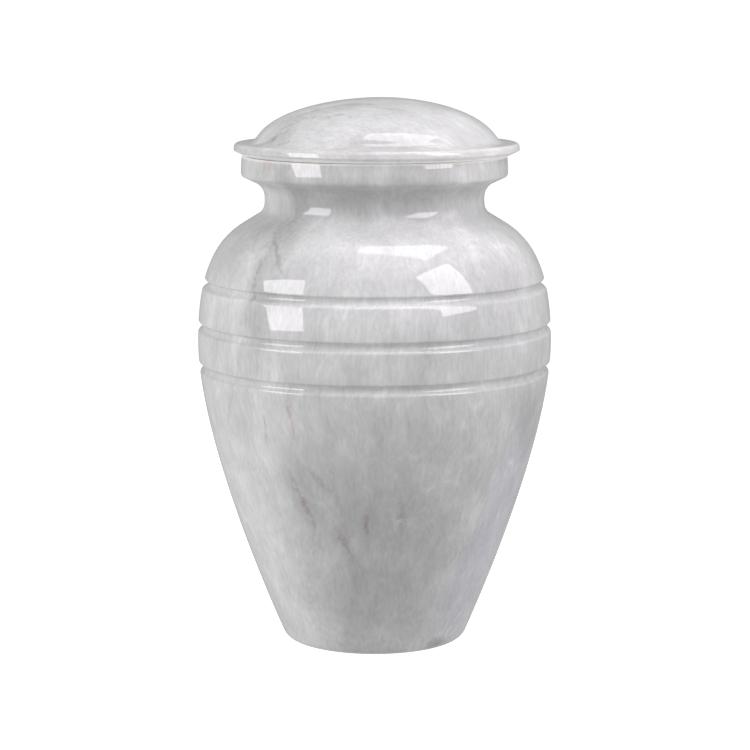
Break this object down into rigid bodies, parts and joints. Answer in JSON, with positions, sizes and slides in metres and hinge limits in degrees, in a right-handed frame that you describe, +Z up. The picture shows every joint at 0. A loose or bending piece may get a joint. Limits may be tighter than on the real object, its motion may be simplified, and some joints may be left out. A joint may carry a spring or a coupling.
{
  "type": "urn",
  "caption": "Turned stone urn with grooved bands, a flared collar, a hollow body and a domed lid that lifts off.",
  "frame": {"origin": "centre of the underside, on the surface that the urn stands on", "axes": "+Z up along the urn's turning axis, -Y towards the pictured front, +X to its right"},
  "size_m": [0.1792, 0.1792, 0.276],
  "materials": {
    "marble": "polished white marble with fine grey clouding and a few brownish veins"
  },
  "bodies": {
    "root": {"urn_body": "marble", "lid": "marble"}
  },
  "joints": []
}
